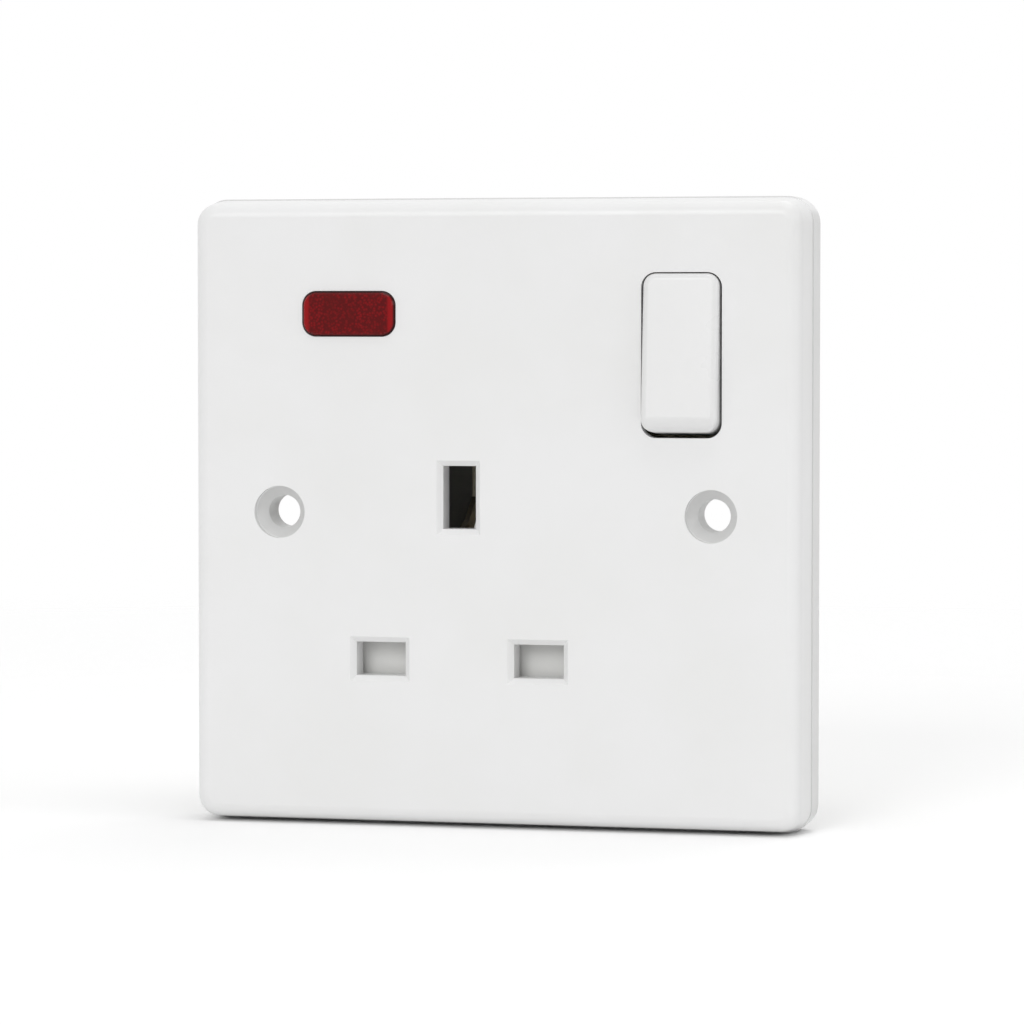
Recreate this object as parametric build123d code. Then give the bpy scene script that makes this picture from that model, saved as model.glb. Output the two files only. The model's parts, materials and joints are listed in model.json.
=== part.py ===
from build123d import *
import math
import os

# Single switched socket outlet for flat-pin plugs, with an indicator lamp.
# Millimetres. +X is right and +Z is up as seen from the front, and the front faces -Y.
# The origin is the centre of the plate, in the plane where its rim meets the wall.

# Plate moulding
plate_w = 86.0
plate_h = 86.0
plate_depth = 11.0
plate_corner_r = 3.6
tier_depth = 5.9
tier_draft = 7.0
tier_step = 0.15
tier_edge_r = 0.1
front_edge_r = 1.9
face_wall = 3.0
skirt_wall = 2.4
rib_wall = 1.2
root = 0.5

# Fixing screws
fixing_centres = 60.3
fixing_bore_r = 2.25
fixing_head_r = 3.6
fixing_head_depth = 1.1
pillar_r = 5.0
pillar_length = 7.0

# Plug pins
pin_group_x = -4.8
pin_group_z = -8.9
pin_spread = 22.2
pin_rise = 22.2
pole_pin_w = 6.35
pole_pin_h = 4.0
pole_pin_length = 17.7
earth_pin_w = 4.0
earth_pin_h = 8.0
earth_pin_length = 22.7
slot_gap = 0.3
slot_bevel = 0.75
slot_wall = 4.0
slot_pad = 2.4

# Rear moulding and the chamber it closes
base_left = -24.0
base_right = 19.0
base_half_h = 35.0
head_bottom = 8.0
base_corner_r = 2.6
base_wall = 1.4
seat_depth = 4.0
base_floor = 1.6
base_edge_r = 0.9
base_room = 0.8
fit_gap = 0.1

# Shutter
shutter_gap = 1.2
shutter_t = 1.4
shutter_lap = 0.5
shutter_over = 1.3
shutter_travel = 5.6
cam_engagement = 0.8
cam_w = 1.2
cam_slope_gap = 0.2
spine_w = 3.4
guide_w = 1.0
shutter_spring_r = 1.6
shutter_spring_wire = 0.2
shutter_spring_turns = 8
peg_r = 1.1
peg_length = 1.6

# Rocker
rocker_from_right = 16.93
rocker_from_top = 21.38
rocker_w = 10.4
rocker_h = 21.3
rocker_proud = 1.6
rocker_side_gap = 0.33
rocker_end_gap = 0.48
rocker_corner_r = 1.7
rocker_edge_r = 0.9
rocker_nose_r = 2.0
rocker_wall = 1.2
rocker_skirt = 5.4
rocker_angle = 10.0
pivot_depth = 3.4
trunnion_r = 1.2
trunnion_length = 1.7
trunnion_gap = 0.05
cheek_gap = 0.4
cheek_w = 1.5
cheek_half = 3.5
cheek_depth = 3.0
well_wall = 2.0
well_margin = 1.2
stem_r = 2.8
stem_bore_r = 1.8
stem_end = 5.6
stem_rib = 1.0

# Plunger and its spring
plunger_gap = 0.1
plunger_length = 3.6
plunger_nose_r = 1.2
plunger_nose_length = 0.95
plunger_rest_gap = 0.03
rocker_spring_length = 4.8
rocker_spring_r = 1.35
rocker_spring_wire = 0.2
rocker_spring_turns = 5

# Switch contacts
fulcrum_y = 2.3
fulcrum_r = 0.8
blade_t = 1.3
blade_w = 4.6
blade_upper = 10.6
blade_lower = 5.0
blade_angle = 13.0
tip_r = 1.5
tip_t = 0.9
tip_arm = 9.0
tip_edge = 0.15
contact_gap = 0.03

# Strips and pin grips
strip_t = 0.7
strip_w = 5.0
grip_gap = 3.5
grip_flare = 1.8
grip_front = 0.5
pole_mouth = 2.9
pole_shoulder = 0.9
pole_grip_w = 5.6
earth_mouth = 2.2
earth_shoulder = 0.3
earth_grip_h = 10.0
earth_lead_y = 7.6
earth_lead_h = 4.4
pole_tip_gap = 0.7
earth_tip_gap = 1.3
strip_rest = 0.3
link_z = 12.4
solder_tab = 3.0

# Terminals
terminal_w = 8.0
terminal_h = 8.0
terminal_inset = 0.5
wire_bore_r = 2.2
wire_bore_depth = 6.0
wire_bore_wall = 1.0
line_terminal_x = 10.0
tail_overlap = 1.7
clamp_r = 2.0
clamp_gap = 0.05
clamp_head_r = 2.7
clamp_head_h = 2.0
clamp_access_gap = 0.4
screw_slot_w = 0.8
screw_slot_depth = 0.8
wire_entry_gap = 0.8

# Indicator lamp
lamp_from_left = 22.78
lamp_from_top = 15.83
lens_w = 13.1
lens_h = 6.1
lens_corner_r = 1.9
lens_gap = 0.08
lens_proud = 0.45
lens_bevel = 0.4
lens_wall = 1.2
lens_flange = 1.3
lens_flange_t = 1.0
bulb_r = 2.5
bulb_length = 12.0
bulb_nose_r = 2.0
bulb_gap = 0.6
bulb_pin_spread = 1.8
resistor_r = 1.1
resistor_length = 6.0
lead_r = 0.45
lead_bend_r = 1.5
lead_drop = 3.0
bridge_length = 6.0

# Assembly screws
joint_inset = 3.8
joint_from_terminal = 9.5
joint_screw_r = 1.45
joint_pilot_r = 1.45
joint_clear_r = 1.65
joint_head_r = 2.5
joint_head_h = 1.9
joint_boss_r = 3.4
joint_screw_bite = 3.0
head_gap = 0.2

# Places that follow from the sizes above
rocker_x = plate_w / 2 - rocker_from_right
rocker_z = plate_h / 2 - rocker_from_top
lamp_x = lamp_from_left - plate_w / 2
lamp_z = plate_h / 2 - lamp_from_top
base_bottom = -base_half_h
base_top = base_half_h
head_left = lamp_x - lens_w / 2 - lens_flange - base_wall - base_room
head_right = rocker_x + rocker_w / 2 + cheek_gap + cheek_w + base_wall + fit_gap
joint_screws = (
    (head_left + joint_inset, head_bottom + joint_inset),
    (line_terminal_x - joint_from_terminal, base_top - joint_inset),
    (base_right - joint_inset, base_bottom + joint_inset),
)
front_y = -plate_depth
step_y = front_y + tier_depth
face_back_y = front_y + face_wall
slot_back_y = front_y + slot_wall
seat_y = -seat_depth
pole_strip_y = front_y + pole_pin_length + pole_tip_gap
terminal_back = front_y + earth_pin_length + earth_tip_gap
floor_y = terminal_back + strip_t + strip_rest
base_depth = floor_y + base_floor
earth_z = pin_group_z + pin_rise / 2
pole_z = pin_group_z - pin_rise / 2
neutral_x = pin_group_x - pin_spread / 2
line_x = pin_group_x + pin_spread / 2
pole_slot_w = pole_pin_w + 2 * slot_gap
pole_slot_h = pole_pin_h + 2 * slot_gap
earth_slot_w = earth_pin_w + 2 * slot_gap
earth_slot_h = earth_pin_h + 2 * slot_gap
shutter_front_y = slot_back_y + shutter_gap
shutter_back_y = shutter_front_y + shutter_t
shutter_top = pole_z + pole_slot_h / 2 + shutter_lap
shutter_bottom = pole_z - pole_slot_h / 2 - shutter_lap - shutter_over
shutter_half = pin_spread / 2 + pole_slot_w / 2 + shutter_over + shutter_lap
chamber_bottom = base_bottom + base_wall
pivot_y = front_y + pivot_depth
cheek_back_y = pivot_y + cheek_depth
rocker_rest = -rocker_angle / 2
blade_rest = blade_angle / 2
nose_y = fulcrum_y - blade_t - plunger_rest_gap - plunger_nose_r
tip_swing = math.radians(blade_angle / 2)
tip_reach_y = tip_t * math.cos(tip_swing) + (tip_arm + tip_r) * math.sin(tip_swing)
fixed_tip_y = fulcrum_y + tip_reach_y + contact_gap
fixed_strip_y = fixed_tip_y + tip_t
terminal_front = fixed_strip_y + strip_t
wire_bore_y = terminal_front + wire_bore_wall + wire_bore_r
terminal_low = chamber_bottom + terminal_inset
terminal_high = base_top - base_wall - terminal_inset
bulb_y = face_back_y + lens_flange_t + bulb_gap + bulb_r
pole_bridge_y = pole_strip_y + strip_t


def face_at(y):
    """Drawing plane parallel to the wall: across is X, up is Z."""
    return Plane(origin=(0, y, 0), x_dir=(1, 0, 0), z_dir=(0, -1, 0))


def slab(outline, y_front, y_back):
    """A shape drawn as seen from the front, given depth along Y."""
    return extrude(face_at(y_back) * outline, amount=y_back - y_front)


def rect(x_low, z_low, x_high, z_high):
    """A rectangle between two corners."""
    return Pos((x_low + x_high) / 2, (z_low + z_high) / 2) * Rectangle(x_high - x_low, z_high - z_low)


def side_profile(points, x_low, x_high):
    """A closed Y, Z outline given width along X."""
    plane = Plane(origin=(x_low, 0, 0), x_dir=(0, 1, 0), z_dir=(1, 0, 0))
    return extrude(plane * make_face(Polyline(*points, close=True)), amount=x_high - x_low)


def turned(points, x, z):
    """A radius, depth outline turned about an axis along Y."""
    return Pos(x, 0, z) * revolve(make_face(Polyline(*points, close=True)), Axis.Y)


def rod_along_x(radius, x_low, x_high, y, z):
    """A round bar along X."""
    return Pos((x_low + x_high) / 2, y, z) * Rot(0, 90, 0) * Cylinder(radius, x_high - x_low)


def rod_along_z(radius, x, y, z_low, z_high):
    """A round bar along Z."""
    return Pos(x, y, (z_low + z_high) / 2) * Cylinder(radius, z_high - z_low)


def tilted(part, y, z, angle):
    """Turn a part about a line along X through y, z."""
    return Pos(0, y, z) * Rot(angle, 0, 0) * Pos(0, -y, -z) * part


def chamber(inset, corner):
    """Outline shared by the front plate's inner wall and the rear housing."""
    trunk = rect(base_left + inset, base_bottom + inset, base_right - inset, base_top - inset)
    head = rect(head_left + inset, head_bottom + inset, head_right - inset, base_top - inset)
    outline = trunk + head
    return fillet(outline.vertices(), corner)


def slot_tool(x, z, width, height):
    """Cutter for one plug slot: a straight hole with a bevelled mouth."""
    hole = slab(Pos(x, z) * Rectangle(width, height), front_y - root, slot_back_y + root)
    mouth = face_at(front_y) * Pos(x, z) * Rectangle(width + 2 * slot_bevel, height + 2 * slot_bevel)
    throat = face_at(front_y + slot_bevel) * Pos(x, z) * Rectangle(width, height)
    return hole + loft([mouth, throat])


def plate_shell():
    """Two-tier face with a rounded front edge, hollow from behind."""
    back_tier = slab(RectangleRounded(plate_w, plate_h, plate_corner_r), step_y, 0)
    back_tier = fillet(back_tier.faces().sort_by(Axis.Y)[0].edges(), tier_edge_r)
    width = plate_w - 2 * tier_step
    height = plate_h - 2 * tier_step
    outline = face_at(step_y) * RectangleRounded(width, height, plate_corner_r - tier_step)
    front_tier = extrude(outline, amount=tier_depth, taper=tier_draft)
    front_tier = fillet(front_tier.faces().sort_by(Axis.Y)[0].edges(), front_edge_r)
    inner_r = plate_corner_r - skirt_wall
    hollow = RectangleRounded(plate_w - 2 * skirt_wall, plate_h - 2 * skirt_wall, inner_r)
    return back_tier + front_tier - slab(hollow, face_back_y, root)


def plate_inner_walls():
    """Everything that stands up from the back of the plate's face."""
    base_y = face_back_y - root
    inner_r = base_corner_r - base_wall
    walls = slab(chamber(0, base_corner_r) - chamber(base_wall, inner_r), base_y, seat_y)
    for x, z, width, height in (
        (neutral_x, pole_z, pole_slot_w, pole_slot_h),
        (line_x, pole_z, pole_slot_w, pole_slot_h),
        (pin_group_x, earth_z, earth_slot_w, earth_slot_h),
    ):
        pad = Pos(x, z) * RectangleRounded(width + 2 * slot_pad, height + 2 * slot_pad, rib_wall)
        walls += slab(pad, base_y, slot_back_y)
    for x, z in joint_screws:
        walls += slab(Pos(x, z) * Circle(joint_boss_r), base_y, seat_y)
    for side in (-1, 1):
        x = side * fixing_centres / 2
        walls += slab(Pos(x, 0) * Circle(pillar_r), base_y, front_y + pillar_length)
        x_low, x_high = sorted((x, side * (plate_w / 2 - skirt_wall + root)))
        web_y = front_y + pillar_length - rib_wall
        walls += slab(rect(x_low, -rib_wall / 2, x_high, rib_wall / 2), base_y, web_y)
        guide_x = pin_group_x + side * (shutter_half + fit_gap + guide_w / 2)
        low = chamber_bottom + fit_gap
        guide = rect(guide_x - guide_w / 2, low, guide_x + guide_w / 2, shutter_top + shutter_lap)
        walls += slab(guide, base_y, shutter_back_y)
        rail_x = pin_group_x + side * (spine_w + guide_w)
        rail = rect(rail_x - guide_w / 2, low, rail_x + guide_w / 2, shutter_top)
        walls += slab(rail, base_y, shutter_front_y - fit_gap)
    peg_z = chamber_bottom - root
    walls += rod_along_z(peg_r, pin_group_x, spring_y(), peg_z, chamber_bottom + peg_length)
    return walls


def spring_y():
    """Depth of the shutter spring's axis: the middle of the shutter."""
    return (shutter_front_y + shutter_back_y) / 2


def rocker_cheeks():
    """Two ears beside the rocker's opening that carry its trunnions."""
    base_y = front_y + well_wall - root
    cheeks = None
    for side in (-1, 1):
        near = side * (rocker_w / 2 + cheek_gap)
        far = near + side * cheek_w
        x_low, x_high = sorted((rocker_x + near, rocker_x + far))
        ear = slab(rect(x_low, rocker_z - cheek_half, x_high, rocker_z + cheek_half), base_y, cheek_back_y)
        cheeks = ear if cheeks is None else cheeks + ear
    return cheeks


def trunnion_notch():
    """Cutter for the round-bottomed notches that the trunnions turn in."""
    notch_r = trunnion_r + trunnion_gap
    reach = rocker_w / 2 + cheek_gap + cheek_w + root
    notch = rod_along_x(notch_r, rocker_x - reach, rocker_x + reach, pivot_y, rocker_z)
    opening = rect(rocker_x - reach, rocker_z - notch_r, rocker_x + reach, rocker_z + notch_r)
    return notch + slab(opening, pivot_y, cheek_back_y + root)


def make_front_plate():
    """The moulded front: shell, inner walls, and every hole through the face."""
    plate = plate_shell() + plate_inner_walls()
    place = Pos(rocker_x, rocker_z)
    open_w = rocker_w + 2 * rocker_side_gap
    open_h = rocker_h + 2 * rocker_end_gap
    well = place * Rectangle(open_w + 2 * well_margin, open_h + 2 * well_margin)
    plate -= slab(well, front_y + well_wall, seat_y)
    plate += rocker_cheeks()
    plate -= trunnion_notch()
    opening = place * RectangleRounded(open_w, open_h, rocker_corner_r + rocker_side_gap)
    plate -= slab(opening, front_y - root, front_y + well_wall + root)
    window_w = lens_w + 2 * lens_gap
    window_h = lens_h + 2 * lens_gap
    window = Pos(lamp_x, lamp_z) * RectangleRounded(window_w, window_h, lens_corner_r + lens_gap)
    plate -= slab(window, front_y - root, face_back_y + root)
    plate -= slot_tool(neutral_x, pole_z, pole_slot_w, pole_slot_h)
    plate -= slot_tool(line_x, pole_z, pole_slot_w, pole_slot_h)
    plate -= slot_tool(pin_group_x, earth_z, earth_slot_w, earth_slot_h)
    cone_end = front_y + fixing_head_depth + fixing_head_r - fixing_bore_r
    hole = (
        (0, front_y - root),
        (fixing_head_r, front_y - root),
        (fixing_head_r, front_y + fixing_head_depth),
        (fixing_bore_r, cone_end),
        (fixing_bore_r, front_y + pillar_length + root),
        (0, front_y + pillar_length + root),
    )
    for side in (-1, 1):
        plate -= turned(hole, side * fixing_centres / 2, 0)
    for x, z in joint_screws:
        plate -= slab(Pos(x, z) * Circle(joint_pilot_r), seat_y - joint_screw_bite, seat_y + root)
    return plate


def terminal_places():
    """Name, centre X, lower Z and mouth direction of the three terminals."""
    return (
        ("neutral_terminal", neutral_x, terminal_low, -1),
        ("earth_terminal", pin_group_x, terminal_low, -1),
        ("line_terminal", line_terminal_x, terminal_high - terminal_h, 1),
    )


def housing_ribs():
    """Pockets, barriers and posts that hold the metal parts, from the floor forwards."""
    inner = floor_y + root
    ribs = Part() + [slab(Pos(x, z) * Circle(joint_boss_r), seat_y, inner) for x, z in joint_screws]
    for name, x, z_low, mouth in terminal_places():
        half = terminal_w / 2 + fit_gap
        for side in (-1, 1):
            x_low, x_high = sorted((x + side * half, x + side * (half + rib_wall)))
            wall = rect(x_low, z_low, x_high, z_low + terminal_h)
            ribs += slab(wall, terminal_back - terminal_w / 2, inner)
        inner_z = z_low if mouth > 0 else z_low + terminal_h
        pad_low, pad_high = sorted((inner_z, inner_z + mouth * tail_overlap))
        rest_y = terminal_back + strip_t if name == "earth_terminal" else terminal_back
        ribs += slab(rect(x - half, pad_low, x + half, pad_high), rest_y, inner)
    for x in ((neutral_x + pin_group_x) / 2, (line_x + pin_group_x) / 2):
        barrier = rect(x - rib_wall / 2, chamber_bottom + fit_gap, x + rib_wall / 2, pin_group_z)
        ribs += slab(barrier, shutter_back_y + fit_gap, inner)
    for x, z, width, height, rest_y in (
        (neutral_x, pole_z, pole_pin_h, rib_wall, pole_bridge_y),
        (line_x, pole_z, pole_pin_h, rib_wall, pole_bridge_y),
        (pin_group_x, earth_z, grip_gap, earth_grip_h, terminal_back + strip_t),
        (rocker_x, rocker_z, strip_w, 2 * rib_wall, pole_bridge_y),
        (rocker_x, rocker_z + tip_arm, strip_w, 2 * rib_wall, terminal_front),
        (line_x, link_z, strip_w, 2 * rib_wall, pole_bridge_y),
    ):
        ribs += slab(Pos(x, z) * Rectangle(width, height), rest_y, inner)
    for side in (-1, 1):
        near = side * (rocker_w / 2 + cheek_gap)
        x_low, x_high = sorted((rocker_x + near, rocker_x + near + side * cheek_w))
        post = rect(x_low, rocker_z - cheek_half, x_high, rocker_z + cheek_half)
        ribs += slab(post, cheek_back_y + fit_gap, inner)
        tongue = rect(x_low, rocker_z - trunnion_r + fit_gap, x_high, rocker_z + trunnion_r - fit_gap)
        ribs += slab(tongue, pivot_y + trunnion_r + trunnion_gap, inner)
    return ribs


def make_rear_housing():
    """Rear moulding: an open tray with a floor, ribs, wire entries and screw holes."""
    shell = slab(chamber(0, base_corner_r), seat_y, base_depth)
    shell = fillet(shell.faces().sort_by(Axis.Y)[-1].edges(), base_edge_r)
    shell -= slab(chamber(base_wall, base_corner_r - base_wall), seat_y - root, floor_y)
    shell += housing_ribs()
    for name, x, z_low, mouth in terminal_places():
        screw_z = clamp_z(z_low, mouth)
        access = Pos(x, screw_z) * Circle(clamp_head_r + clamp_access_gap)
        shell -= slab(access, terminal_back, base_depth + root)
        half = wire_bore_r + wire_entry_gap
        z_wall = base_top if mouth > 0 else base_bottom
        z_inner = z_wall - mouth * (base_wall + terminal_inset)
        z_from, z_to = sorted((z_wall + mouth * root, z_inner))
        entry = rect(x - half, z_from, x + half, z_to)
        shell -= slab(entry, wire_bore_y - half, wire_bore_y + half)
    for x, z in joint_screws:
        shell -= slab(Pos(x, z) * Circle(joint_clear_r), seat_y - root, base_depth + root)
        head_hole = Pos(x, z) * Circle(joint_head_r + head_gap)
        shell -= slab(head_hole, base_depth - joint_head_h - head_gap, base_depth + root)
    return shell


def clamp_z(z_low, mouth):
    """Height of a terminal's clamp screw: the middle of its wire bore."""
    mouth_z = z_low + terminal_h if mouth > 0 else z_low
    return mouth_z - mouth * wire_bore_depth / 2


def make_terminal(name, x, z_low, mouth):
    """Brass block with a blind wire bore, a clamp screw hole and a slot for its strip."""
    half = terminal_w / 2
    outline = rect(x - half, z_low, x + half, z_low + terminal_h)
    block = slab(outline, terminal_front, terminal_back)
    block = chamfer(block.edges().filter_by(Axis.Y), screw_slot_w / 2)
    mouth_z = z_low + terminal_h if mouth > 0 else z_low
    bore_low, bore_high = sorted((mouth_z + mouth * root, mouth_z - mouth * wire_bore_depth))
    block -= rod_along_z(wire_bore_r, x, wire_bore_y, bore_low, bore_high)
    screw_z = clamp_z(z_low, mouth)
    block -= slab(Pos(x, screw_z) * Circle(clamp_r + clamp_gap), wire_bore_y, terminal_back + root)
    if name == "neutral_terminal":
        top = z_low + terminal_h
        groove = rect(x - terminal_w, top - tail_overlap, x + terminal_w, top + root)
        block -= slab(groove, pole_strip_y, pole_bridge_y)
    return block


def make_terminal_screw(x, z_low, mouth):
    """Slotted clamp screw, head outwards."""
    z = clamp_z(z_low, mouth)
    end_y = wire_bore_y + wire_bore_r + fit_gap
    head_y = base_depth - clamp_head_h
    outline = (
        (0, end_y),
        (clamp_r - clamp_gap, end_y),
        (clamp_r, end_y + clamp_gap),
        (clamp_r, head_y),
        (clamp_head_r, head_y),
        (clamp_head_r, base_depth - clamp_gap),
        (clamp_head_r - clamp_gap, base_depth),
        (0, base_depth),
    )
    screw = turned(outline, x, z)
    slot = Pos(x, z) * Rectangle(2 * clamp_head_r + root, screw_slot_w)
    return screw - slab(slot, base_depth - screw_slot_depth, base_depth + root)


def make_joint_screw(x, z):
    """Self-tapping screw that holds the rear housing to the front plate."""
    end_y = seat_y - joint_screw_bite
    head_y = base_depth - joint_head_h
    outline = (
        (0, end_y),
        (joint_screw_r / 2, end_y),
        (joint_screw_r, end_y + joint_screw_r),
        (joint_screw_r, head_y - joint_screw_r / 2),
        (joint_screw_r, head_y),
        (joint_head_r, head_y),
        (joint_head_r, base_depth - head_gap),
        (joint_head_r - head_gap, base_depth),
        (0, base_depth),
    )
    screw = turned(outline, x, z)
    for turn in (0, 90):
        recess = Pos(x, z) * Rot(0, 0, turn) * Rectangle(joint_head_r, screw_slot_w)
        screw -= slab(recess, base_depth - screw_slot_depth, base_depth + root)
    return screw


def grip(back_y, width, mouth, spread):
    """Sprung fork for one pin: a strip folded round a bridge, pinched, then flared at its mouth."""
    throat = (grip_gap + strip_t) / 2
    shoulder = throat + spread
    bridge = back_y + strip_t / 2
    half = [
        (mouth + strip_t / 2, -grip_front),
        (throat, grip_flare),
        (shoulder, (grip_flare + bridge) / 2),
        (shoulder, bridge),
    ]
    outline = half + [(-across, y) for across, y in reversed(half)]
    path = FilletPolyline(*outline, radius=strip_t)
    return extrude(trace(path, strip_t), amount=width / 2, both=True)


def pole_grip(x):
    """Fork for the line or the neutral pin, lying on its side behind its slot."""
    fork = grip(pole_strip_y, pole_grip_w, pole_mouth, pole_shoulder)
    return Pos(x, 0, pole_z) * Rot(0, 90, 0) * fork


def make_neutral_contact():
    """Neutral grip with a tail down to its terminal and a tab up for the lamp's lead."""
    fork = pole_grip(neutral_x)
    top = terminal_low + terminal_h
    tab_top = pole_z + pole_pin_h + solder_tab
    tail = rect(neutral_x - strip_w / 2, top - tail_overlap, neutral_x + strip_w / 2, tab_top)
    return fork + slab(tail, pole_strip_y, pole_bridge_y)


def make_earth_contact():
    """Earth grip, its front edges cut back as they rise, with a tail down to its terminal."""
    back = terminal_back
    fork = Pos(pin_group_x, 0, earth_z) * grip(back, earth_grip_h, earth_mouth, earth_shoulder)
    low = earth_z - earth_grip_h / 2
    high = earth_z + earth_grip_h / 2 + root
    front = -grip_front - root
    lead = (
        (front, low),
        (-grip_front, low),
        (earth_lead_y, low + earth_lead_h),
        (earth_lead_y, high),
        (front, high),
    )
    fork -= side_profile(lead, pin_group_x - earth_grip_h, pin_group_x + earth_grip_h)
    top = terminal_low + terminal_h
    tail = rect(pin_group_x - strip_w / 2, top - tail_overlap, pin_group_x + strip_w / 2, earth_z)
    return fork + slab(tail, back, back + strip_t)


def make_line_contact():
    """Line pin grip, a flat link round to the switch, and the fulcrum that the blade rocks on."""
    fork = pole_grip(line_x)
    end_z = rocker_z + fulcrum_r
    route = Polyline((line_x, pole_z), (line_x, link_z), (rocker_x, link_z), (rocker_x, end_z))
    link = slab(trace(route, strip_w), pole_strip_y, pole_bridge_y)
    web = side_profile(
        (
            (fulcrum_y, rocker_z - fulcrum_r),
            (pole_bridge_y, rocker_z - fulcrum_r),
            (pole_bridge_y, rocker_z + fulcrum_r),
            (fulcrum_y, rocker_z + fulcrum_r),
        ),
        rocker_x - blade_w / 2,
        rocker_x + blade_w / 2,
    )
    nose = rod_along_x(fulcrum_r, rocker_x - blade_w / 2, rocker_x + blade_w / 2, fulcrum_y, rocker_z)
    return fork + link + web + nose


def make_fixed_contact():
    """Strip from the line terminal to behind the blade's moving button."""
    z = rocker_z + tip_arm
    half = strip_w / 2
    strip = rect(line_terminal_x - terminal_w / 2, z - half, rocker_x + half, z + half)
    strip = fillet(strip.vertices(), strip_t)
    return slab(strip, fixed_strip_y, terminal_front)


def button(front, back, x, z, face_front):
    """Contact button with one domed edge."""
    rim = tip_r - tip_edge
    if face_front:
        points = ((0, front), (rim, front), (tip_r, front + tip_edge), (tip_r, back), (0, back))
    else:
        points = ((0, front), (tip_r, front), (tip_r, back - tip_edge), (rim, back), (0, back))
    return turned(points, x, z)


def make_fixed_tip():
    """Silver button on the fixed contact."""
    return button(fixed_tip_y, fixed_strip_y, rocker_x, rocker_z + tip_arm, True)


def make_moving_tip():
    """Silver button on the blade, tilted with it to the off position."""
    tip = button(fulcrum_y, fulcrum_y + tip_t, rocker_x, rocker_z + tip_arm, False)
    return tilted(tip, fulcrum_y, rocker_z, blade_rest)


def make_blade():
    """Rocking blade with a round groove that sits on the fulcrum."""
    half = blade_w / 2
    outline = rect(rocker_x - half, rocker_z - blade_lower, rocker_x + half, rocker_z + blade_upper)
    blade = slab(fillet(outline.vertices(), strip_t), fulcrum_y - blade_t, fulcrum_y)
    groove_r = fulcrum_r + trunnion_gap
    groove = rod_along_x(groove_r, rocker_x - blade_w, rocker_x + blade_w, fulcrum_y, rocker_z)
    return tilted(blade - groove, fulcrum_y, rocker_z, blade_rest)


def make_rocker():
    """Hollow cap with rounded edges, two trunnions and a bored stem."""
    cap_y = front_y - rocker_proud
    outline = Pos(rocker_x, rocker_z) * RectangleRounded(rocker_w, rocker_h, rocker_corner_r)
    cap = slab(outline, cap_y, front_y + rocker_skirt)
    cap = fillet(cap.faces().sort_by(Axis.Y)[0].edges(), rocker_edge_r)
    low = rocker_z - rocker_h / 2
    x_low = rocker_x - rocker_w
    x_high = rocker_x + rocker_w
    round_y = cap_y + rocker_nose_r
    round_z = low + rocker_nose_r
    corner = slab(rect(x_low, low - root, x_high, round_z), cap_y - root, round_y)
    cap -= corner - rod_along_x(rocker_nose_r, x_low, x_high, round_y, round_z)
    inner_w = rocker_w - 2 * rocker_wall
    inner_h = rocker_h - 2 * rocker_wall
    inner = Pos(rocker_x, rocker_z) * RectangleRounded(inner_w, inner_h, rocker_corner_r - rocker_wall)
    cap -= slab(inner, cap_y + rocker_wall, front_y + rocker_skirt + root)
    stem_y = cap_y + rocker_wall - root
    cap += slab(Pos(rocker_x, rocker_z) * Circle(stem_r), stem_y, pivot_y + stem_end)
    rib = Pos(rocker_x, rocker_z) * Rectangle(stem_rib, inner_h + root)
    cap += slab(rib, stem_y, pivot_y)
    reach = rocker_w / 2 + trunnion_length
    axle = rod_along_x(trunnion_r, rocker_x - reach, rocker_x + reach, pivot_y, rocker_z)
    cap += axle
    bore = Pos(rocker_x, rocker_z) * Circle(stem_bore_r)
    cap -= slab(bore, spring_seat_y(), pivot_y + stem_end + root)
    return tilted(cap, pivot_y, rocker_z, rocker_rest)


def plunger_back_y():
    """Where the plunger's body ends inside the stem."""
    return nose_y - plunger_nose_length - plunger_length


def spring_seat_y():
    """Blind end of the stem's bore."""
    return plunger_back_y() - rocker_spring_length


def make_plunger():
    """Round-nosed plunger that slides in the rocker's stem."""
    body_r = stem_bore_r - plunger_gap
    shoulder_y = nose_y - plunger_nose_length
    outline = (
        (0, plunger_back_y()),
        (body_r, plunger_back_y()),
        (body_r, shoulder_y),
        (plunger_nose_r, shoulder_y),
        (plunger_nose_r, nose_y),
        (0, nose_y),
    )
    plunger = turned(outline, rocker_x, rocker_z)
    plunger += Pos(rocker_x, nose_y, rocker_z) * Sphere(plunger_nose_r)
    return tilted(plunger, pivot_y, rocker_z, rocker_rest)


def coil(length, radius, wire, turns):
    """Round-wire spring along Z from 0 to length."""
    pitch = (length - 2 * wire) / turns
    path = Pos(0, 0, wire) * Helix(pitch, length - 2 * wire, radius)
    section = Plane(origin=path @ 0, z_dir=path % 0) * Circle(wire)
    return sweep(section, path=path)


def make_rocker_spring():
    """Spring inside the stem, behind the plunger."""
    spring = coil(rocker_spring_length, rocker_spring_r, rocker_spring_wire, rocker_spring_turns)
    spring = Pos(rocker_x, spring_seat_y(), rocker_z) * Rot(-90, 0, 0) * spring
    return tilted(spring, pivot_y, rocker_z, rocker_rest)


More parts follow.
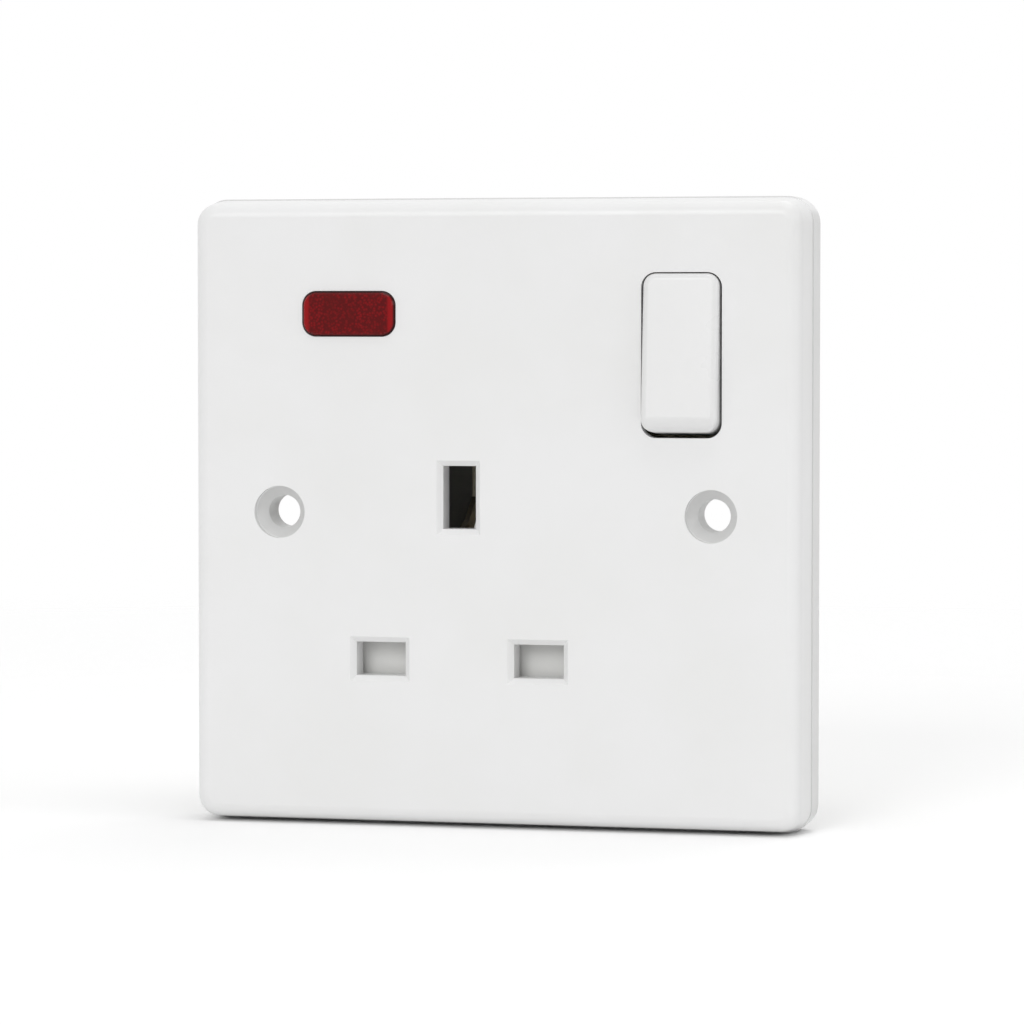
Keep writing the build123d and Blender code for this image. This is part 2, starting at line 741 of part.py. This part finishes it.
def make_shutter():
    """Slide over both lower slots, with a spine up to the cam that the earth pin pushes."""
    plate = rect(pin_group_x - shutter_half, shutter_bottom, pin_group_x + shutter_half, shutter_top)
    plate = fillet(plate.vertices(), shutter_lap)
    body = slab(plate, shutter_front_y, shutter_back_y)
    spine_x = pin_group_x + earth_pin_w / 2 + slot_gap
    pin_low = earth_z - earth_pin_h / 2
    cam_top = pin_low + shutter_travel - cam_slope_gap
    spine = rect(spine_x, shutter_bottom, spine_x + spine_w, cam_top)
    body += slab(spine, shutter_front_y, shutter_back_y)
    cam_front = slot_back_y + cam_slope_gap
    cam_back = cam_front + shutter_travel
    cam_low = cam_top - shutter_travel
    cam = (
        (cam_front, cam_low),
        (cam_front, cam_low - rib_wall),
        (cam_back, cam_low - rib_wall),
        (cam_back, cam_top),
    )
    cam_x = pin_group_x + earth_pin_w / 2 - cam_engagement
    body += side_profile(cam, cam_x, cam_x + cam_w + root)
    peg_low = shutter_bottom - peg_length
    peg_top = shutter_bottom + root
    peg = rod_along_z(peg_r, pin_group_x, spring_y(), peg_low, peg_top)
    flats = rect(pin_group_x - peg_r, peg_low, pin_group_x + peg_r, peg_top)
    return body + (peg & slab(flats, shutter_front_y, shutter_back_y))


def make_shutter_spring():
    """Spring between the chamber's bottom wall and the shutter."""
    length = shutter_bottom - chamber_bottom
    spring = coil(length, shutter_spring_r, shutter_spring_wire, shutter_spring_turns)
    return Pos(pin_group_x, spring_y(), chamber_bottom) * spring


def make_lens():
    """Red cup-shaped lens, pushed into its window from behind up to its flange."""
    place = Pos(lamp_x, lamp_z)
    window = place * RectangleRounded(lens_w, lens_h, lens_corner_r)
    body = slab(window, front_y - lens_proud, face_back_y + root)
    body = chamfer(body.faces().sort_by(Axis.Y)[0].edges(), lens_bevel)
    flange_w = lens_w + 2 * lens_flange
    flange_h = lens_h + 2 * lens_flange
    flange = place * RectangleRounded(flange_w, flange_h, lens_corner_r + lens_flange)
    body += slab(flange, face_back_y, face_back_y + lens_flange_t)
    inner_w = lens_w - 2 * lens_wall
    inner_h = lens_h - 2 * lens_wall
    inner = place * RectangleRounded(inner_w, inner_h, lens_corner_r - lens_wall)
    return body - slab(inner, front_y + lens_wall, face_back_y + lens_flange_t + root)


def make_bulb():
    """Neon lamp lying behind the lens, with its pinched end to the right."""
    left = lamp_x - bulb_length / 2
    bulb = rod_along_x(bulb_r, left, left + bulb_length, bulb_y, lamp_z)
    ends = bulb.faces().sort_by(Axis.X)
    bulb = fillet(ends[0].edges(), bulb_nose_r)
    return chamfer(bulb.faces().sort_by(Axis.X)[-1].edges(), bulb_gap)


def lead(points):
    """Insulated lead along straight runs and bends."""
    path = FilletPolyline(*points, radius=lead_bend_r)
    section = Plane(origin=path @ 0, z_dir=path % 0) * Circle(lead_r)
    return sweep(section, path=path)


def bulb_end():
    """X of the lamp's pinched end, where its leads come out."""
    return lamp_x + bulb_length / 2


def make_bridge_lead():
    """Straight lead from the lamp to the resistor."""
    z = lamp_z - bulb_pin_spread / 2
    return rod_along_x(lead_r, bulb_end(), bulb_end() + bridge_length, bulb_y, z)


def make_resistor():
    """Ballast resistor with its moulded ends."""
    left = bulb_end() + bridge_length
    z = lamp_z - bulb_pin_spread / 2
    body = rod_along_x(resistor_r, left, left + resistor_length, bulb_y, z)
    return fillet(body.edges().filter_by(GeomType.CIRCLE), resistor_r / 2)


def make_line_lead():
    """Lead from the resistor to the switched line contact."""
    x = bulb_end() + bridge_length + resistor_length
    z = lamp_z - bulb_pin_spread / 2
    points = (
        (x, bulb_y, z),
        (line_x - strip_w, bulb_y, z),
        (line_x, fulcrum_y, (z + link_z) / 2),
        (line_x, fulcrum_y, link_z),
        (line_x, pole_strip_y, link_z),
    )
    return lead(points)


def make_neutral_lead():
    """Lead from the lamp down to the tab on the neutral contact."""
    z = lamp_z + bulb_pin_spread / 2
    drop_x = bulb_end() + lead_drop
    tab_z = pole_z + pole_pin_h + solder_tab / 2
    points = (
        (bulb_end(), bulb_y, z),
        (drop_x, bulb_y, z),
        (drop_x, fulcrum_y, z - strip_w),
        (drop_x, fulcrum_y, pin_group_z + strip_w),
        (neutral_x, fulcrum_y, tab_z),
        (neutral_x, pole_strip_y, tab_z),
    )
    return lead(points)


def build():
    """Every piece by name."""
    parts = {
        "front_plate": make_front_plate(),
        "rear_housing": make_rear_housing(),
        "rocker": make_rocker(),
        "rocker_plunger": make_plunger(),
        "rocker_spring": make_rocker_spring(),
        "moving_contact": make_blade(),
        "moving_contact_tip": make_moving_tip(),
        "fixed_contact": make_fixed_contact(),
        "fixed_contact_tip": make_fixed_tip(),
        "line_contact": make_line_contact(),
        "neutral_contact": make_neutral_contact(),
        "earth_contact": make_earth_contact(),
        "shutter": make_shutter(),
        "shutter_spring": make_shutter_spring(),
        "lamp_lens": make_lens(),
        "neon_lamp": make_bulb(),
        "lamp_resistor": make_resistor(),
        "lamp_bridge_lead": make_bridge_lead(),
        "lamp_line_lead": make_line_lead(),
        "lamp_neutral_lead": make_neutral_lead(),
    }
    for name, x, z_low, mouth in terminal_places():
        parts[name] = make_terminal(name, x, z_low, mouth)
        parts[name + "_screw"] = make_terminal_screw(x, z_low, mouth)
    for number, (x, z) in enumerate(joint_screws, 1):
        parts[f"assembly_screw_{number}"] = make_joint_screw(x, z)
    return parts


os.makedirs("parts", exist_ok=True)
for node, solid in build().items():
    export_step(solid, f"parts/{node}.step")
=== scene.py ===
import json
import math

import bpy
import numpy as np
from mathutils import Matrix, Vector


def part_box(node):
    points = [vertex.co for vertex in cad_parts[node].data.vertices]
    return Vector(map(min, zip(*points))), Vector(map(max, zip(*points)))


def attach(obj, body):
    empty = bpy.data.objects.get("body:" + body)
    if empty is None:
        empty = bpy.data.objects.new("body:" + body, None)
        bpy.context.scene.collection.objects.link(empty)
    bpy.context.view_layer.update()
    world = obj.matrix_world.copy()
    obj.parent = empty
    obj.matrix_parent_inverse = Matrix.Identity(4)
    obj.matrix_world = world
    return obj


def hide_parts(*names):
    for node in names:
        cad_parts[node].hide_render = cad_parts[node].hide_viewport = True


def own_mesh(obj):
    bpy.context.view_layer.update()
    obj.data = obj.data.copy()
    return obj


# Looks of the switched socket outlet. Metres, in the part's own frame: +X right, +Z up,
# and the front faces -Y. The plate's centre, where its rim meets the wall, is the origin.
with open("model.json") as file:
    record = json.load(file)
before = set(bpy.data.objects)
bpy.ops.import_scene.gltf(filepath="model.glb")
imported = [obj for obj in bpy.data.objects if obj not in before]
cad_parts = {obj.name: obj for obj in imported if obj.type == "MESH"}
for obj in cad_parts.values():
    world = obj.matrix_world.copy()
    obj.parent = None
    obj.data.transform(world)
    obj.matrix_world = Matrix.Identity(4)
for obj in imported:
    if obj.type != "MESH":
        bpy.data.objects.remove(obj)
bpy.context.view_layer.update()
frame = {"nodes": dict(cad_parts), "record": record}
nodes = frame["nodes"]

MM = 0.001

# The photograph's viewpoint: degrees round and down, millimetres from the face's centre
CAMERA_AZIMUTH = 14.0
CAMERA_DOWN = 2.66
CAMERA_DISTANCE = 585.0
CAMERA_FOCAL_PIXELS = 4311.7
FACE_CENTRE_PIXEL = (492.5, 514.3)
IMAGE_PIXELS = 1024
SENSOR_MM = 36.0
CAMERA_NEAR = 10.0 * MM

# Patterns in the surfaces, in cells per metre
MOTTLE = 60.0
SHEEN = 140.0
GLASS_CLOUD = 180.0
LENS_CLOUD = 420.0
LACQUER_MOTTLE = 700.0
RIPPLE = 900.0
METAL_GRAIN = 2500.0
LENS_STIPPLE = 2600.0

# Heights of the fine ripple and of the lens's stipple
RIPPLE_DEPTH = 0.02 * MM
STIPPLE_DEPTH = 0.06 * MM

# Moulded plastic is this much smoother and this much rougher than its middle roughness
SMOOTHER = 0.04
ROUGHER = 0.05

# Most of a soft pattern's values lie between these
PATTERN_LOW = 0.3
PATTERN_HIGH = 0.7

# Half size that reaches past the part along an axis, so that the axis doesn't count
UNBOUNDED = 1.0

# The plate's shades, with a painted shade on its rear tier and in its two countersinks, and
# where these begin
PLATE_WHITE = (0.80, 0.80, 0.80)
PLATE_DULL = (0.785, 0.785, 0.78)
PLATE_ROUGHNESS = 0.32
TIER_PAINTED_SHADE = (0.66, 0.66, 0.655)
TIER_START = 42.4 * MM
STEP_Y = -5.1 * MM
SINK_PAINTED_SHADE = (0.68, 0.68, 0.675)
SINK_RADIUS = 3.6 * MM
HOLE_X = 30.15 * MM

# Widths over which one shade of paint turns into the next
SINK_FADE = 0.15 * MM
STEP_FADE = 0.1 * MM
TIER_FADE = (0.1 * MM, 0.4 * MM)

# The lens seen from the front, the solid end on each side of its hollow, which is painted
# lighter, and the band of painted shade at its outline
LENS_W = 13.1 * MM
LENS_H = 6.1 * MM
LENS_CORNER = 1.9 * MM
LENS_BEVEL = 0.4 * MM
LENS_END = 1.2 * MM
LENS_END_FADE = (0.05 * MM, 0.4 * MM)
LENS_SHADE_BAND = (-0.32 * MM, -0.15 * MM)

# The lens's reds: speckled, clouded, a painted light on its solid ends and a painted shade at
# its outline
LENS_RED = (0.15, 0.003, 0.004)
LENS_SPECK = (0.22, 0.002, 0.004)
LENS_BETWEEN = (0.10, 0.001, 0.002)
LENS_CLOUDED = (0.10, 0.002, 0.002)
LENS_PAINTED_LIGHT = (0.27, 0.003, 0.005)
LENS_PAINTED_SHADE = (0.03, 0.001, 0.001)

# The lamp's glass and the resistor's lacquer: middle, darker and lighter colour
GLASS = (0.9, 0.75, 0.66)
GLASS_SHADES = ((0.84, 0.72, 0.64), (0.94, 0.83, 0.75))
LACQUER = (0.50, 0.32, 0.16)
LACQUER_SHADES = ((0.44, 0.27, 0.13), (0.56, 0.37, 0.20))
LACQUER_ROUGHNESS = (0.28, 0.45)

# Painted rings on the resistor: share of its length from the middle, and colour
RING_WIDTH = 0.5 * MM
RING_FADE = 0.05 * MM
RINGS = (
    (-0.30, (0.42, 0.16, 0.02)),
    (-0.14, (0.42, 0.16, 0.02)),
    (0.02, (0.45, 0.36, 0.03)),
    (0.30, (0.50, 0.36, 0.10)),
)

# By material slot: name, colour, duller colour and roughness
PLASTICS = {
    "rocker": ("rocker white", (0.75, 0.75, 0.75), (0.735, 0.735, 0.73), 0.30),
    "housing": ("housing white", (0.66, 0.65, 0.61), (0.63, 0.62, 0.58), 0.5),
    "shutter": ("shutter grey", (0.84, 0.84, 0.82), (0.81, 0.81, 0.79), 0.45),
    "plunger": ("plunger nylon", (0.66, 0.65, 0.60), (0.62, 0.61, 0.56), 0.4),
    "lead": ("lead sleeve", (0.70, 0.70, 0.67), (0.66, 0.66, 0.63), 0.6),
}

# The same, then how the streaks are stretched and how metallic the surface is
METALS = {
    "brass": ("turned brass", (0.62, 0.42, 0.15), (0.48, 0.31, 0.10), 0.32, (1, 1, 8), 1.0),
    "strip": ("nickel strip", (0.84, 0.77, 0.62), (0.68, 0.60, 0.46), 0.42, (8, 1, 0.4), 0.85),
    "silver": ("silver button", (0.80, 0.79, 0.76), (0.70, 0.69, 0.65), 0.25, (1, 1, 1), 1.0),
    "spring": ("drawn wire", (0.48, 0.48, 0.48), (0.36, 0.36, 0.36), 0.3, (1, 1, 1), 1.0),
    "screw": ("plated screw", (0.55, 0.55, 0.53), (0.44, 0.44, 0.42), 0.32, (6, 1, 1), 1.0),
}

# The two springs, for the shutter and for the plunger
SPRING_WIRE = 0.2 * MM
STEPS_A_TURN = 40
WIRE_SIDES = 12
END_CLOSING = 0.5
SHUTTER_SPRING_TURNS = 8
PLUNGER_SPRING_TURNS = 5
PLUNGER_SPRING_LENGTH = 4.8 * MM
PLUNGER_SPRING_SEAT_Y = -9.58 * MM

# Floor: its width, the radius at which it is fully clear, the share of that radius over
# which it turns clear, and its two shades
FLOOR_SIZE = 4.0
FLOOR_FADE = 0.5
FLOOR_FADE_SHARE = 0.5
FLOOR_BOUNCE = (0.92, 0.92, 0.92)
FLOOR_SEEN = (1.0, 1.0, 1.0)

# Lamps: name, place, width and watts. The world is dimmer for what it lights than as seen.
LAMPS = (
    ("key", (-0.35, -2.3, 1.0), 0.9, 16.0),
    ("top", (0.3, -0.3, 1.8), 1.2, 7.3),
    ("side", (2.2, -0.55, 0.6), 0.8, 3.5),
    ("back", (0.3, 1.0, 1.7), 1.2, 6.0),
)
WORLD_LIGHT = 0.62
WORLD_SEEN = 1.0


def set_inputs(node, **values):
    """Put plain values on a node's own sockets, named with underscores for spaces."""
    for name, value in values.items():
        node.inputs[name.replace("_", " ")].default_value = value


class Finish:
    """One procedural material: a Principled shader and the nodes that feed it."""

    def __init__(self, name, color, roughness, **extra):
        self.material = bpy.data.materials.new(name)
        self.material.use_nodes = True
        self.tree = self.material.node_tree
        self.shader = self.tree.nodes["Principled BSDF"]
        set_inputs(self.shader, Base_Color=(*color, 1), Roughness=roughness, **extra)
        coordinates = self.tree.nodes.new("ShaderNodeTexCoord")
        self.place = coordinates.outputs["Object"]

    def noise(self, scale, detail=2.0, stretch=(1, 1, 1)):
        """Soft random pattern in object space; scale is in cells per metre."""
        mapping = self.tree.nodes.new("ShaderNodeMapping")
        mapping.inputs["Scale"].default_value = stretch
        node = self.tree.nodes.new("ShaderNodeTexNoise")
        set_inputs(node, Scale=scale, Detail=detail)
        self.tree.links.new(self.place, mapping.inputs["Vector"])
        self.tree.links.new(mapping.outputs["Vector"], node.inputs["Vector"])
        return node.outputs["Fac"]

    def cells(self, scale):
        """Distance to the nearest of many scattered points; scale is in cells per metre."""
        node = self.tree.nodes.new("ShaderNodeTexVoronoi")
        set_inputs(node, Scale=scale)
        self.tree.links.new(self.place, node.inputs["Vector"])
        return node.outputs["Distance"]

    def rim_distance(self, centre, half_size):
        """Distance in metres outside a box round centre, 0 inside it: the absolute offset
        from the centre, less the half size, with what is negative set to 0, as a length."""
        offset = self.tree.nodes.new("ShaderNodeMapping")
        offset.inputs["Location"].default_value = [-c for c in centre]
        self.tree.links.new(self.place, offset.inputs["Vector"])
        last = offset.outputs["Vector"]
        for operation, amount in (
            ("ABSOLUTE", (0, 0, 0)),
            ("SUBTRACT", half_size),
            ("MAXIMUM", (0, 0, 0)),
            ("LENGTH", (0, 0, 0)),
        ):
            node = self.tree.nodes.new("ShaderNodeVectorMath")
            node.operation = operation
            node.inputs[1].default_value = amount
            self.tree.links.new(last, node.inputs[0])
            last = node.outputs["Value"] if operation == "LENGTH" else node.outputs["Vector"]
        return last

    def across(self, axis):
        """One coordinate of the place, in metres: X, Y or Z."""
        node = self.tree.nodes.new("ShaderNodeSeparateXYZ")
        self.tree.links.new(self.place, node.inputs["Vector"])
        return node.outputs[axis]

    def blend(self, value, first, second, at):
        """Colour that goes from first to second as the value goes through a range."""
        fade = self.tree.nodes.new("ShaderNodeMapRange")
        set_inputs(fade, From_Min=at[0], From_Max=at[1])
        self.tree.links.new(value, fade.inputs["Value"])
        mix = self.tree.nodes.new("ShaderNodeMix")
        mix.data_type = "RGBA"
        self.tree.links.new(fade.outputs["Result"], mix.inputs["Factor"])
        for socket, color in zip(("A", "B"), (first, second)):
            target = next(i for i in mix.inputs if i.name == socket and i.type == "RGBA")
            if isinstance(color, tuple):
                target.default_value = (*color, 1)
            else:
                self.tree.links.new(color, target)
        return next(o for o in mix.outputs if o.type == "RGBA")

    def paint(self, color):
        """Feed a worked-out colour to the surface."""
        self.tree.links.new(color, self.shader.inputs["Base Color"])

    def spread_gloss(self, value, low, high):
        """Map a pattern to the range from low to high and feed it to the roughness."""
        node = self.tree.nodes.new("ShaderNodeMapRange")
        set_inputs(node, From_Min=PATTERN_LOW, From_Max=PATTERN_HIGH, To_Min=low, To_Max=high)
        self.tree.links.new(value, node.inputs["Value"])
        self.tree.links.new(node.outputs["Result"], self.shader.inputs["Roughness"])

    def tint(self, value, colors, at):
        """Colour the surface by a pattern, along a ramp between two colours."""
        ramp = self.tree.nodes.new("ShaderNodeValToRGB")
        for stop, position, color in zip(ramp.color_ramp.elements, at, colors):
            stop.position = position
            stop.color = (*color, 1)
        self.tree.links.new(value, ramp.inputs["Fac"])
        self.tree.links.new(ramp.outputs["Color"], self.shader.inputs["Base Color"])

    def rough_up(self, value, depth, strength):
        """Add a bump whose height in metres is the pattern times depth."""
        node = self.tree.nodes.new("ShaderNodeBump")
        set_inputs(node, Strength=strength, Distance=depth)
        self.tree.links.new(value, node.inputs["Height"])
        self.tree.links.new(node.outputs["Normal"], self.shader.inputs["Normal"])

    def mould(self, roughness):
        """Slight changes of sheen and a very fine ripple, as a polished mould leaves them."""
        self.spread_gloss(self.noise(SHEEN, 3.0), roughness - SMOOTHER, roughness + ROUGHER)
        self.rough_up(self.noise(RIPPLE), RIPPLE_DEPTH, 0.15)


def moulded_plastic(name, color, darker, roughness):
    """Moulded plastic with a faint mottle."""
    finish = Finish(name, color, roughness, IOR=1.5)
    finish.tint(finish.noise(MOTTLE, 1.0), (darker, color), (0.2, 0.8))
    finish.mould(roughness)
    return finish.material


def pressed_metal(name, color, darker, roughness, stretch, metallic):
    """Rolled or machined metal: streaks along one direction in colour and gloss. A washed or
    tarnished surface scatters part of the light, so it is less than fully metallic."""
    finish = Finish(name, color, roughness, Metallic=metallic)
    streaks = finish.noise(METAL_GRAIN, 3.0, stretch)
    finish.tint(streaks, (darker, color), (0.3, 0.65))
    finish.spread_gloss(streaks, roughness - 0.08, roughness + 0.12)
    finish.rough_up(streaks, RIPPLE_DEPTH, 0.2)
    return finish.material


def plate_plastic():
    """White plate: the moulding's mottle, with a painted shade, a shade greyer, on the tier that
    meets the wall and in the two countersinks."""
    finish = Finish("plate white", PLATE_WHITE, PLATE_ROUGHNESS, IOR=1.5, Specular_IOR_Level=0.4)
    mottle = finish.noise(MOTTLE, 3.0)
    face = finish.blend(mottle, PLATE_DULL, PLATE_WHITE, (0.35, 0.6))
    for side in (-1, 1):
        outside = finish.rim_distance((side * HOLE_X, 0, 0), (0, UNBOUNDED, 0))
        # Painted shade: each countersink is made greyer inside the screw head's radius
        face = finish.blend(outside, SINK_PAINTED_SHADE, face, (SINK_RADIUS - SINK_FADE, SINK_RADIUS))
    # Painted shade on the rear tier: greyer outside the front tier's outline and behind the step
    outer = finish.rim_distance((0, 0, 0), (TIER_START, UNBOUNDED, TIER_START))
    tier = finish.blend(outer, face, TIER_PAINTED_SHADE, TIER_FADE)
    finish.paint(finish.blend(finish.across("Y"), face, tier, (STEP_Y - STEP_FADE, STEP_Y)))
    finish.mould(PLATE_ROUGHNESS)
    return finish.material


def red_lens():
    """Clear red moulding: fine stipple on its inner face, with painted light that makes its
    solid ends brighter than the part over the hollow behind it, and a nearly black painted shade
    where it meets the plate."""
    finish = Finish("red lens", LENS_RED, 0.15, IOR=1.5, Specular_IOR_Level=0.15)
    low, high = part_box("lamp_lens")
    centre = (low + high) / 2
    stipple = finish.cells(LENS_STIPPLE)
    speckled = finish.blend(stipple, LENS_SPECK, LENS_BETWEEN, (0.1, 0.6))
    middle = finish.blend(finish.noise(LENS_CLOUD), LENS_CLOUDED, speckled, (0.2, 0.55))
    hollow = (LENS_W / 2 - LENS_END, UNBOUNDED, LENS_H / 2 - LENS_BEVEL)
    ends = finish.rim_distance(centre, hollow)
    # Painted light: the solid ends are made brighter than the part over the hollow
    lit_ends_painted = finish.blend(ends, middle, LENS_PAINTED_LIGHT, LENS_END_FADE)
    corners = (LENS_W / 2 - LENS_CORNER, UNBOUNDED, LENS_H / 2 - LENS_CORNER)
    edge = finish.rim_distance(centre, corners)
    # Painted shade: nearly black in a band along the outline, where the lens meets the plate
    shade_band = tuple(LENS_CORNER + offset for offset in LENS_SHADE_BAND)
    finish.paint(finish.blend(edge, lit_ends_painted, LENS_PAINTED_SHADE, shade_band))
    finish.rough_up(stipple, STIPPLE_DEPTH, 0.2)
    return finish.material


def lamp_glass():
    """Glass envelope over dim electrodes."""
    finish = Finish("lamp glass", GLASS, 0.08, IOR=1.5, Transmission_Weight=0.6)
    finish.tint(finish.noise(GLASS_CLOUD), GLASS_SHADES, (PATTERN_LOW, PATTERN_HIGH))
    return finish.material


def resistor_paint():
    """Tan lacquer with an uneven colour and gloss, and painted rings round the body: each ring
    is where the distance along the body from its middle is within half a ring's width."""
    finish = Finish("resistor lacquer", LACQUER, 0.35)
    low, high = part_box("lamp_resistor")
    size = high - low
    along = max(range(3), key=lambda i: size[i])
    mottle = finish.noise(LACQUER_MOTTLE)
    last = finish.blend(mottle, *LACQUER_SHADES, (PATTERN_LOW, PATTERN_HIGH))
    for share, color in RINGS:
        centre = (low + high) / 2
        centre[along] += share * size[along]
        half = [UNBOUNDED] * 3
        half[along] = RING_WIDTH / 2
        outside = finish.rim_distance(centre, half)
        last = finish.blend(outside, color, last, (0, RING_FADE))
    finish.paint(last)
    finish.spread_gloss(mottle, *LACQUER_ROUGHNESS)
    return finish.material


materials = {slot: moulded_plastic(*row) for slot, row in PLASTICS.items()}
materials.update({slot: pressed_metal(*row) for slot, row in METALS.items()})
materials["plate"] = plate_plastic()
materials["lens"] = red_lens()
materials["bulb"] = lamp_glass()
materials["resistor"] = resistor_paint()
for row in frame["record"]["subparts"]:
    data = nodes[row["node"]].data
    data.materials.clear()
    data.materials.append(materials[row["material_slot"]])


def wound_wire(name, foot, rise, radius, length, turns):
    """Round wire wound round an axis that rises from its foot. The wire's middle goes round at
    an even rate while its height gains as the share of the way, less a part of the sine of the
    full turn of that share, so that the end turns lie closer. Round it the surface is a circle
    in the plane through the axis: its cosine reaches out and its sine rises."""
    share = np.linspace(0.0, 1.0, turns * STEPS_A_TURN + 1)[:, None]
    around = np.linspace(0.0, 2 * np.pi, WIRE_SIDES, endpoint=False)[None, :]
    angle = 2 * np.pi * turns * share
    gain = share - END_CLOSING * np.sin(2 * np.pi * share) / (2 * np.pi)
    reach = radius + SPRING_WIRE * np.cos(around)
    height = SPRING_WIRE * (1 + np.sin(around)) + (length - 2 * SPRING_WIRE) * gain
    rise, out = np.array(rise), np.array((1.0, 0.0, 0.0))
    beside = np.cross(rise, out)
    points = np.array(foot) + (reach * np.cos(angle))[..., None] * out
    points = points + (reach * np.sin(angle))[..., None] * beside + height[..., None] * rise

    number = np.arange(share.size * WIRE_SIDES).reshape(share.size, WIRE_SIDES)
    following = np.roll(number, -1, axis=1)
    quads = np.stack((number[:-1], number[1:], following[1:], following[:-1]), axis=-1)
    ends = [number[0].tolist(), number[-1, ::-1].tolist()]
    mesh = bpy.data.meshes.new(name)
    mesh.from_pydata(points.reshape(-1, 3).tolist(), [], quads.reshape(-1, 4).tolist() + ends)
    smooth = np.ones(len(mesh.polygons), dtype=bool)
    smooth[-2:] = False
    mesh.polygons.foreach_set("use_smooth", smooth)
    piece = bpy.data.objects.new(name, mesh)
    bpy.context.scene.collection.objects.link(piece)
    return piece


def fit_spring(name, node, body, foot, rise, length, turns):
    """Put a wound spring where the solid one is, on the solid's body, and hide the solid one."""
    low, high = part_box(node)
    spring = wound_wire(name, foot, rise, (high.x - low.x) / 2 - SPRING_WIRE, length, turns)
    spring.data.materials.append(materials["spring"])
    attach(spring, body)
    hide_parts(node)
    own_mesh(spring)


low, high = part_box("shutter_spring")
fit_spring(
    "shutter_return_spring",
    "shutter_spring",
    "plate",
    ((low.x + high.x) / 2, (low.y + high.y) / 2, low.z),
    (0.0, 0.0, 1.0),
    high.z - low.z,
    SHUTTER_SPRING_TURNS,
)

joints = {row["name"]: row for row in frame["record"]["behaviour"]["joints"]}
plunger_line = joints["plunger_slide"]["axis"]
pivot = joints["rocker_tilt"]["pos_m"]
seat = (PLUNGER_SPRING_SEAT_Y - pivot[1]) / plunger_line[1]
fit_spring(
    "rocker_plunger_spring",
    "rocker_spring",
    "rocker",
    [p + seat * a for p, a in zip(pivot, plunger_line)],
    plunger_line,
    PLUNGER_SPRING_LENGTH,
    PLUNGER_SPRING_TURNS,
)


def floor_white():
    """White paint, a shade greyer in the light that it throws back, which turns clear with the
    distance from the middle: 1 less that distance over the fade's radius, as the gradient."""
    finish = Finish("floor white", FLOOR_BOUNCE, 0.9, Specular_IOR_Level=0.1)
    make, links = finish.tree.nodes.new, finish.tree.links
    seen = make("ShaderNodeLightPath").outputs["Is Camera Ray"]
    finish.paint(finish.blend(seen, FLOOR_BOUNCE, FLOOR_SEEN, (0, 1)))
    mapping = make("ShaderNodeMapping")
    mapping.inputs["Scale"].default_value = [1 / FLOOR_FADE] * 3
    gradient = make("ShaderNodeTexGradient")
    gradient.gradient_type = "SPHERICAL"
    fade = make("ShaderNodeMapRange")
    set_inputs(fade, From_Max=FLOOR_FADE_SHARE)
    clear = make("ShaderNodeBsdfTransparent")
    mix = make("ShaderNodeMixShader")
    links.new(finish.place, mapping.inputs["Vector"])
    links.new(mapping.outputs["Vector"], gradient.inputs["Vector"])
    links.new(gradient.outputs["Fac"], fade.inputs["Value"])
    links.new(fade.outputs["Result"], mix.inputs["Fac"])
    links.new(clear.outputs["BSDF"], mix.inputs[1])
    links.new(finish.shader.outputs["BSDF"], mix.inputs[2])
    surface = finish.tree.nodes["Material Output"].inputs["Surface"]
    links.new(mix.outputs["Shader"], surface)
    return finish.material


# The floor lies under the plate's bottom edge and fades out into the white round it
floor_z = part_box("front_plate")[0].z
bpy.ops.mesh.primitive_plane_add(size=FLOOR_SIZE, location=(0, 0, floor_z))
floor = bpy.context.object
floor.name = "floor"
floor.data.materials.append(floor_white())


def soft_light(name, place, width, watts):
    """Square area lamp at a place in metres, aimed at the middle of the plate."""
    light = bpy.data.lights.new(name, "AREA")
    light.shape = "SQUARE"
    light.size = width
    light.energy = watts
    lamp = bpy.data.objects.new(name, light)
    lamp.location = place
    lamp.rotation_euler = (-Vector(place)).to_track_quat("-Z", "Y").to_euler()
    bpy.context.scene.collection.objects.link(lamp)


for row in LAMPS:
    soft_light(*row)

world = bpy.data.worlds.new("studio")
bpy.context.scene.world = world
world.use_nodes = True
tree = world.node_tree
background = tree.nodes["Background"]
background.inputs["Color"].default_value = (1, 1, 1, 1)
rays = tree.nodes.new("ShaderNodeLightPath")
seen = rays.outputs["Is Camera Ray"]
for kind in ("Is Glossy Ray", "Is Transmission Ray"):
    either = tree.nodes.new("ShaderNodeMath")
    either.operation = "MAXIMUM"
    tree.links.new(seen, either.inputs[0])
    tree.links.new(rays.outputs[kind], either.inputs[1])
    seen = either.outputs[0]
level = tree.nodes.new("ShaderNodeMapRange")
set_inputs(level, To_Min=WORLD_LIGHT, To_Max=WORLD_SEEN)
tree.links.new(seen, level.inputs["Value"])
tree.links.new(level.outputs["Result"], background.inputs["Strength"])

# Camera at the photograph's viewpoint
face_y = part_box("front_plate")[0].y
turn, down = math.radians(CAMERA_AZIMUTH), math.radians(CAMERA_DOWN)
level_forward = Vector((-math.sin(turn), math.cos(turn), 0))
forward = level_forward * math.cos(down) - Vector((0, 0, math.sin(down)))
camera_data = bpy.data.cameras.new("camera")
camera_data.sensor_width = SENSOR_MM
camera_data.lens = CAMERA_FOCAL_PIXELS / IMAGE_PIXELS * SENSOR_MM
camera_data.shift_x = (IMAGE_PIXELS / 2 - FACE_CENTRE_PIXEL[0]) / IMAGE_PIXELS
camera_data.shift_y = (FACE_CENTRE_PIXEL[1] - IMAGE_PIXELS / 2) / IMAGE_PIXELS
camera_data.clip_start = CAMERA_NEAR
camera = bpy.data.objects.new("camera", camera_data)
camera.location = Vector((0, face_y, 0)) - forward * CAMERA_DISTANCE * MM
camera.rotation_euler = forward.to_track_quat("-Z", "Y").to_euler()
bpy.context.scene.collection.objects.link(camera)
bpy.context.scene.camera = camera
bpy.context.scene.view_settings.view_transform = "Standard"
